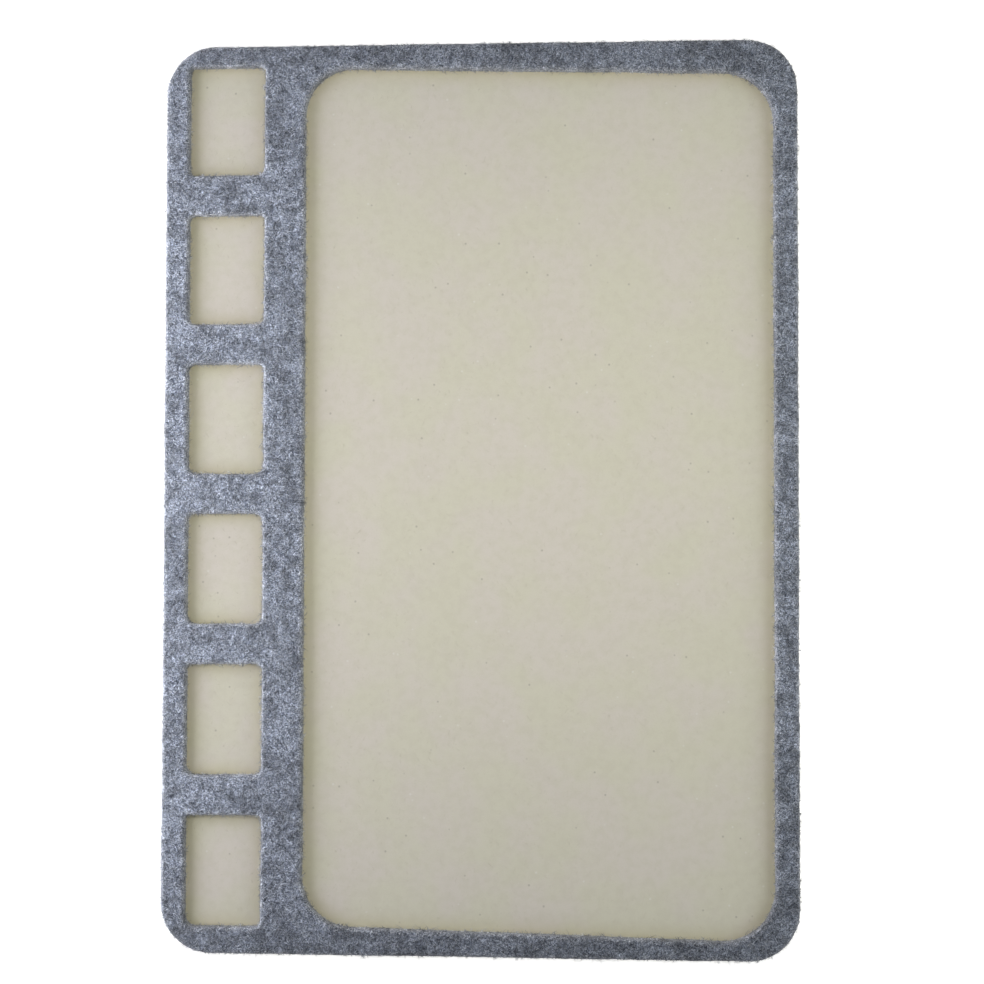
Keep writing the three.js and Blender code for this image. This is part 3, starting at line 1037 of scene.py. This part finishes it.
spots, out, sideways = edge_spots(WALL_FIBRE_COUNT)
length = draw.uniform(*WALL_FIBRE_LENGTH, WALL_FIBRE_COUNT)
lean = draw.normal(0, WALL_FIBRE_LEAN, WALL_FIBRE_COUNT)
share = np.linspace(-0.5, 0.5, STRAND_RINGS)
rise = draw.uniform(*WALL_FIBRE_RISE, WALL_FIBRE_COUNT)[:, None] * (1 - (2 * share) ** 2) - WALL_FIBRE_SINK
height = draw.uniform(felt_low[2] + FELT_FOOT, felt_high[2] - FELT_SHOULDER / 2, WALL_FIBRE_COUNT)
run = length[:, None] * share
path_z = height[:, None] + run * np.sin(lean)[:, None]
path_z = np.clip(path_z, felt_low[2] + FELT_FOOT, felt_high[2] - FELT_SHOULDER / 3)
stand = rise - shoulder_drop(path_z - (felt_high[2] - FELT_SHOULDER))
flat_path = spots[:, None] + (run * np.cos(lean)[:, None])[:, :, None] * sideways[:, None]
flat_path = flat_path + stand[:, :, None] * out[:, None]
wall_fibres = add_strands(
    "felt_wall_fibres",
    at_height(flat_path, path_z),
    draw.uniform(*WALL_FIBRE_RADIUS, WALL_FIBRE_COUNT),
    draw.random(WALL_FIBRE_COUNT),
    np.ones(WALL_FIBRE_COUNT),
    hair_finish,
)
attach(wall_fibres, "root")


def standing_hairs(reach, spread, curl, together=1):
    """Paths that leave the cut edges, as many together from one root: out by the reach, with a random spread
    sideways and up, and a curl that grows with the square of the way out."""
    count = len(reach)
    roots = count // together
    spots, out, sideways = (np.repeat(rows, together, axis=0) for rows in edge_spots(roots))
    height = draw.uniform(felt_low[2] + 2 * FELT_FOOT, felt_high[2] - FELT_SHOULDER / 3, roots)
    height = np.repeat(height, together)
    start = -shoulder_drop(height - (felt_high[2] - FELT_SHOULDER)) - FUZZ_ROOT
    share = np.linspace(0, 1, STRAND_RINGS)
    way_out = start[:, None] + reach[:, None] * share
    way_along = reach[:, None] * (draw.normal(0, spread, count)[:, None] * share)
    way_along = way_along + reach[:, None] * draw.normal(0, curl, count)[:, None] * share ** 2
    way_up = reach[:, None] * draw.normal(0, spread / 2, count)[:, None] * share
    flat_path = spots[:, None] + way_out[:, :, None] * out[:, None]
    flat_path = flat_path + way_along[:, :, None] * sideways[:, None]
    path_z = np.clip(height[:, None] + way_up, felt_low[2] + FELT_FOOT / 2, felt_high[2] + FELT_FOOT)
    return at_height(flat_path, path_z)


stub_reach = np.minimum(STUB_SHORTEST + draw.exponential(STUB_REACH, STUB_COUNT), STUB_LONGEST)
stubs = standing_hairs(stub_reach, STUB_SPREAD, STUB_CURL)
loose = standing_hairs(draw.uniform(*LOOSE_REACH, LOOSE_COUNT), LOOSE_SPREAD, LOOSE_CURL)
tuft_reach = draw.uniform(*TUFT_REACH, TUFT_COUNT * TUFT_HAIRS)
tufts = standing_hairs(tuft_reach, TUFT_SPREAD, TUFT_CURL, together=TUFT_HAIRS)
fuzz = np.concatenate([stubs, loose, tufts])
fuzz_radii = np.concatenate([
    draw.uniform(*STUB_RADIUS, STUB_COUNT),
    draw.uniform(*LOOSE_RADIUS, LOOSE_COUNT),
    draw.uniform(*TUFT_RADIUS, len(tufts)),
])
fuzz_tints = draw.random(len(fuzz)) ** FUZZ_TINT_POWER
edge_fuzz = add_strands("felt_edge_fuzz", fuzz, fuzz_radii, fuzz_tints, np.ones(len(fuzz)), hair_finish)
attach(edge_fuzz, "root")

spots, out, sideways = edge_spots(SHOULDER_NAP_COUNT)
inset = np.minimum(draw.exponential(SHOULDER_NAP_SPREAD, SHOULDER_NAP_COUNT), EDGE_HIGHLIGHT_WIDTH)
base = spots - inset[:, None] * out
lift = np.interp(inset, (0, FELT_SHOULDER), SHOULDER_NAP_LIFT)
lean = draw.normal(0, SHOULDER_NAP_LEAN, SHOULDER_NAP_COUNT)
reach = draw.uniform(*SHOULDER_NAP_REACH, SHOULDER_NAP_COUNT)
run = reach[:, None] * (np.linspace(0, 1, STRAND_RINGS) - SHOULDER_NAP_SUNK_SHARE)
ahead = np.cos(lean)[:, None] * out + np.sin(lean)[:, None] * sideways
flat_path = base[:, None] + (run * np.cos(lift)[:, None])[:, :, None] * ahead[:, None]
path_z = felt_height(*base.T)[:, None] + run * np.sin(lift)[:, None]
shoulder_nap = add_strands(
    "felt_shoulder_nap",
    at_height(flat_path, path_z),
    draw.uniform(*STUB_RADIUS, SHOULDER_NAP_COUNT),
    draw.random(SHOULDER_NAP_COUNT) ** FUZZ_TINT_POWER,
    1 - inset / EDGE_HIGHLIGHT_WIDTH,
    hair_finish,
)
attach(shoulder_nap, "root")

# Studio
# A pale glowing table under a bright soft room. A lamp stands low on the left, with two more that rake the
# felt alone and a faint blue window behind them. A warm lamp hangs overhead, with a broad fill on the right.

FLOOR_SIZE = 30.0
FLOOR_GAP = 0.02 * MM
FLOOR_MOTTLE = 0.4
FLOOR_PALE = (0.93, 0.93, 0.93, 1)
FLOOR_GREY = (0.91, 0.91, 0.91, 1)
FLOOR_FINISH = {"Roughness": 0.9, "Emission Color": (1, 1, 1, 1), "Emission Strength": 0.75}
ROOM_COLOUR = (0.54, 0.55, 0.55, 1)
# The room shines fully below the second of these heights in the sky, and not at all above the first
ROOM_HEIGHTS = (0.9, 0.35)
ROOM_SEEN = 0.76
CAMERA_PLACE = (0.03058, -0.01283, 0.51072)
CAMERA_TURN_DEGREES = (1.63, 2.969, 0.126)
CAMERA_NEAREST = 10 * MM
FOCAL_LENGTH_MM = 58.54
SENSOR_MM = 36

floor_finish, tree, shader, place = new_material("pale_table")
colour = blend_colours(tree, speckle(tree, place, FLOOR_MOTTLE), FLOOR_PALE, FLOOR_GREY)
set_inputs(tree, shader, {"Base Color": colour, **FLOOR_FINISH})
floor_corners = FLOOR_SIZE / 2 * np.array([[-1, -1], [1, -1], [1, 1], [-1, 1]])
floor_points = at_height(floor_corners, cad_box[0][2] - FLOOR_GAP)
floor = add_piece("table", floor_points, [np.array([[0, 1, 2, 3]])], {}, floor_finish)


def add_lamp(name, place, aim, size, power, colour, lights=None):
    """A rectangular soft light at a place, turned towards its aim. It can be kept to a collection of pieces
    that it lights."""
    light = bpy.data.lights.new(name, "AREA")
    light.shape = "RECTANGLE"
    light.size, light.size_y = size
    light.energy = power
    light.color = colour
    lamp = bpy.data.objects.new(name, light)
    lamp.location = place
    towards = lamp.location.copy()
    towards.x, towards.y, towards.z = (end - start for start, end in zip(place, aim))
    lamp.rotation_euler = towards.to_track_quat("-Z", "Y").to_euler()
    lamp.visible_camera = False
    lamp.light_linking.receiver_collection = lights
    scene.collection.objects.link(lamp)


felt_alone = bpy.data.collections.new("felt_alone")
for piece in (felt_frame, *face_fibre_sheets, wall_fibres, edge_fuzz, shoulder_nap):
    felt_alone.objects.link(piece)

add_lamp(
    "window_light",
    place=(-0.505, 0.06, 0.195),
    aim=(0, 0.03, 0.005),
    size=(0.6, 0.26),
    power=0.30,
    colour=(0.1, 0.1, 1.0),
)
add_lamp(
    "near_lamp",
    place=(-0.22, 0.01, 0.10),
    aim=(-0.05, 0.01, 0),
    size=(0.36, 0.12),
    power=0.285,
    colour=(0.98, 0.97, 0.97),
)
add_lamp(
    "low_lamp",
    place=(-0.20, 0.03, 0.05),
    aim=(0.1, 0.03, 0.0),
    size=(0.42, 0.07),
    power=0.215,
    colour=(0.93, 0.92, 0.95),
    lights=felt_alone,
)
add_lamp(
    "raking_lamp",
    place=(-0.19, 0.03, 0.022),
    aim=(0.1, 0.03, 0.0),
    size=(0.42, 0.03),
    power=0.38,
    colour=(0.94, 0.96, 0.94),
    lights=felt_alone,
)
add_lamp(
    "overhead_lamp",
    place=(0.04, 0.03, 0.27),
    aim=(0.04, 0.03, 0),
    size=(0.1, 0.1),
    power=0.24,
    colour=(1.0, 0.97, 0.83),
)
add_lamp(
    "right_fill",
    place=(0.48, 0.03, 0.25),
    aim=(0, 0.03, 0),
    size=(0.6, 0.4),
    power=0.96,
    colour=(0.93, 0.99, 0.97),
)

world = bpy.data.worlds.new("room")
scene.world = world
world.use_nodes = True
tree = world.node_tree
sky = add_node(tree, "ShaderNodeTexCoord").outputs["Generated"]
up = add_node(tree, "ShaderNodeSeparateXYZ", {"Vector": sky}).outputs["Z"]
seen = add_node(tree, "ShaderNodeLightPath").outputs["Is Camera Ray"]
glow = combine(tree, "MULTIPLY_ADD", seen, ROOM_SEEN, stretch(tree, up, ROOM_HEIGHTS))
set_inputs(tree, tree.nodes["Background"], {"Color": ROOM_COLOUR, "Strength": glow})

camera = bpy.data.objects.new("camera", bpy.data.cameras.new("camera"))
camera.data.sensor_width = SENSOR_MM
camera.data.lens = FOCAL_LENGTH_MM
camera.data.clip_start = CAMERA_NEAREST
camera.location = CAMERA_PLACE
camera.rotation_euler = [math.radians(turn) for turn in CAMERA_TURN_DEGREES]
scene.collection.objects.link(camera)
scene.camera = camera
scene.view_settings.view_transform = "Standard"
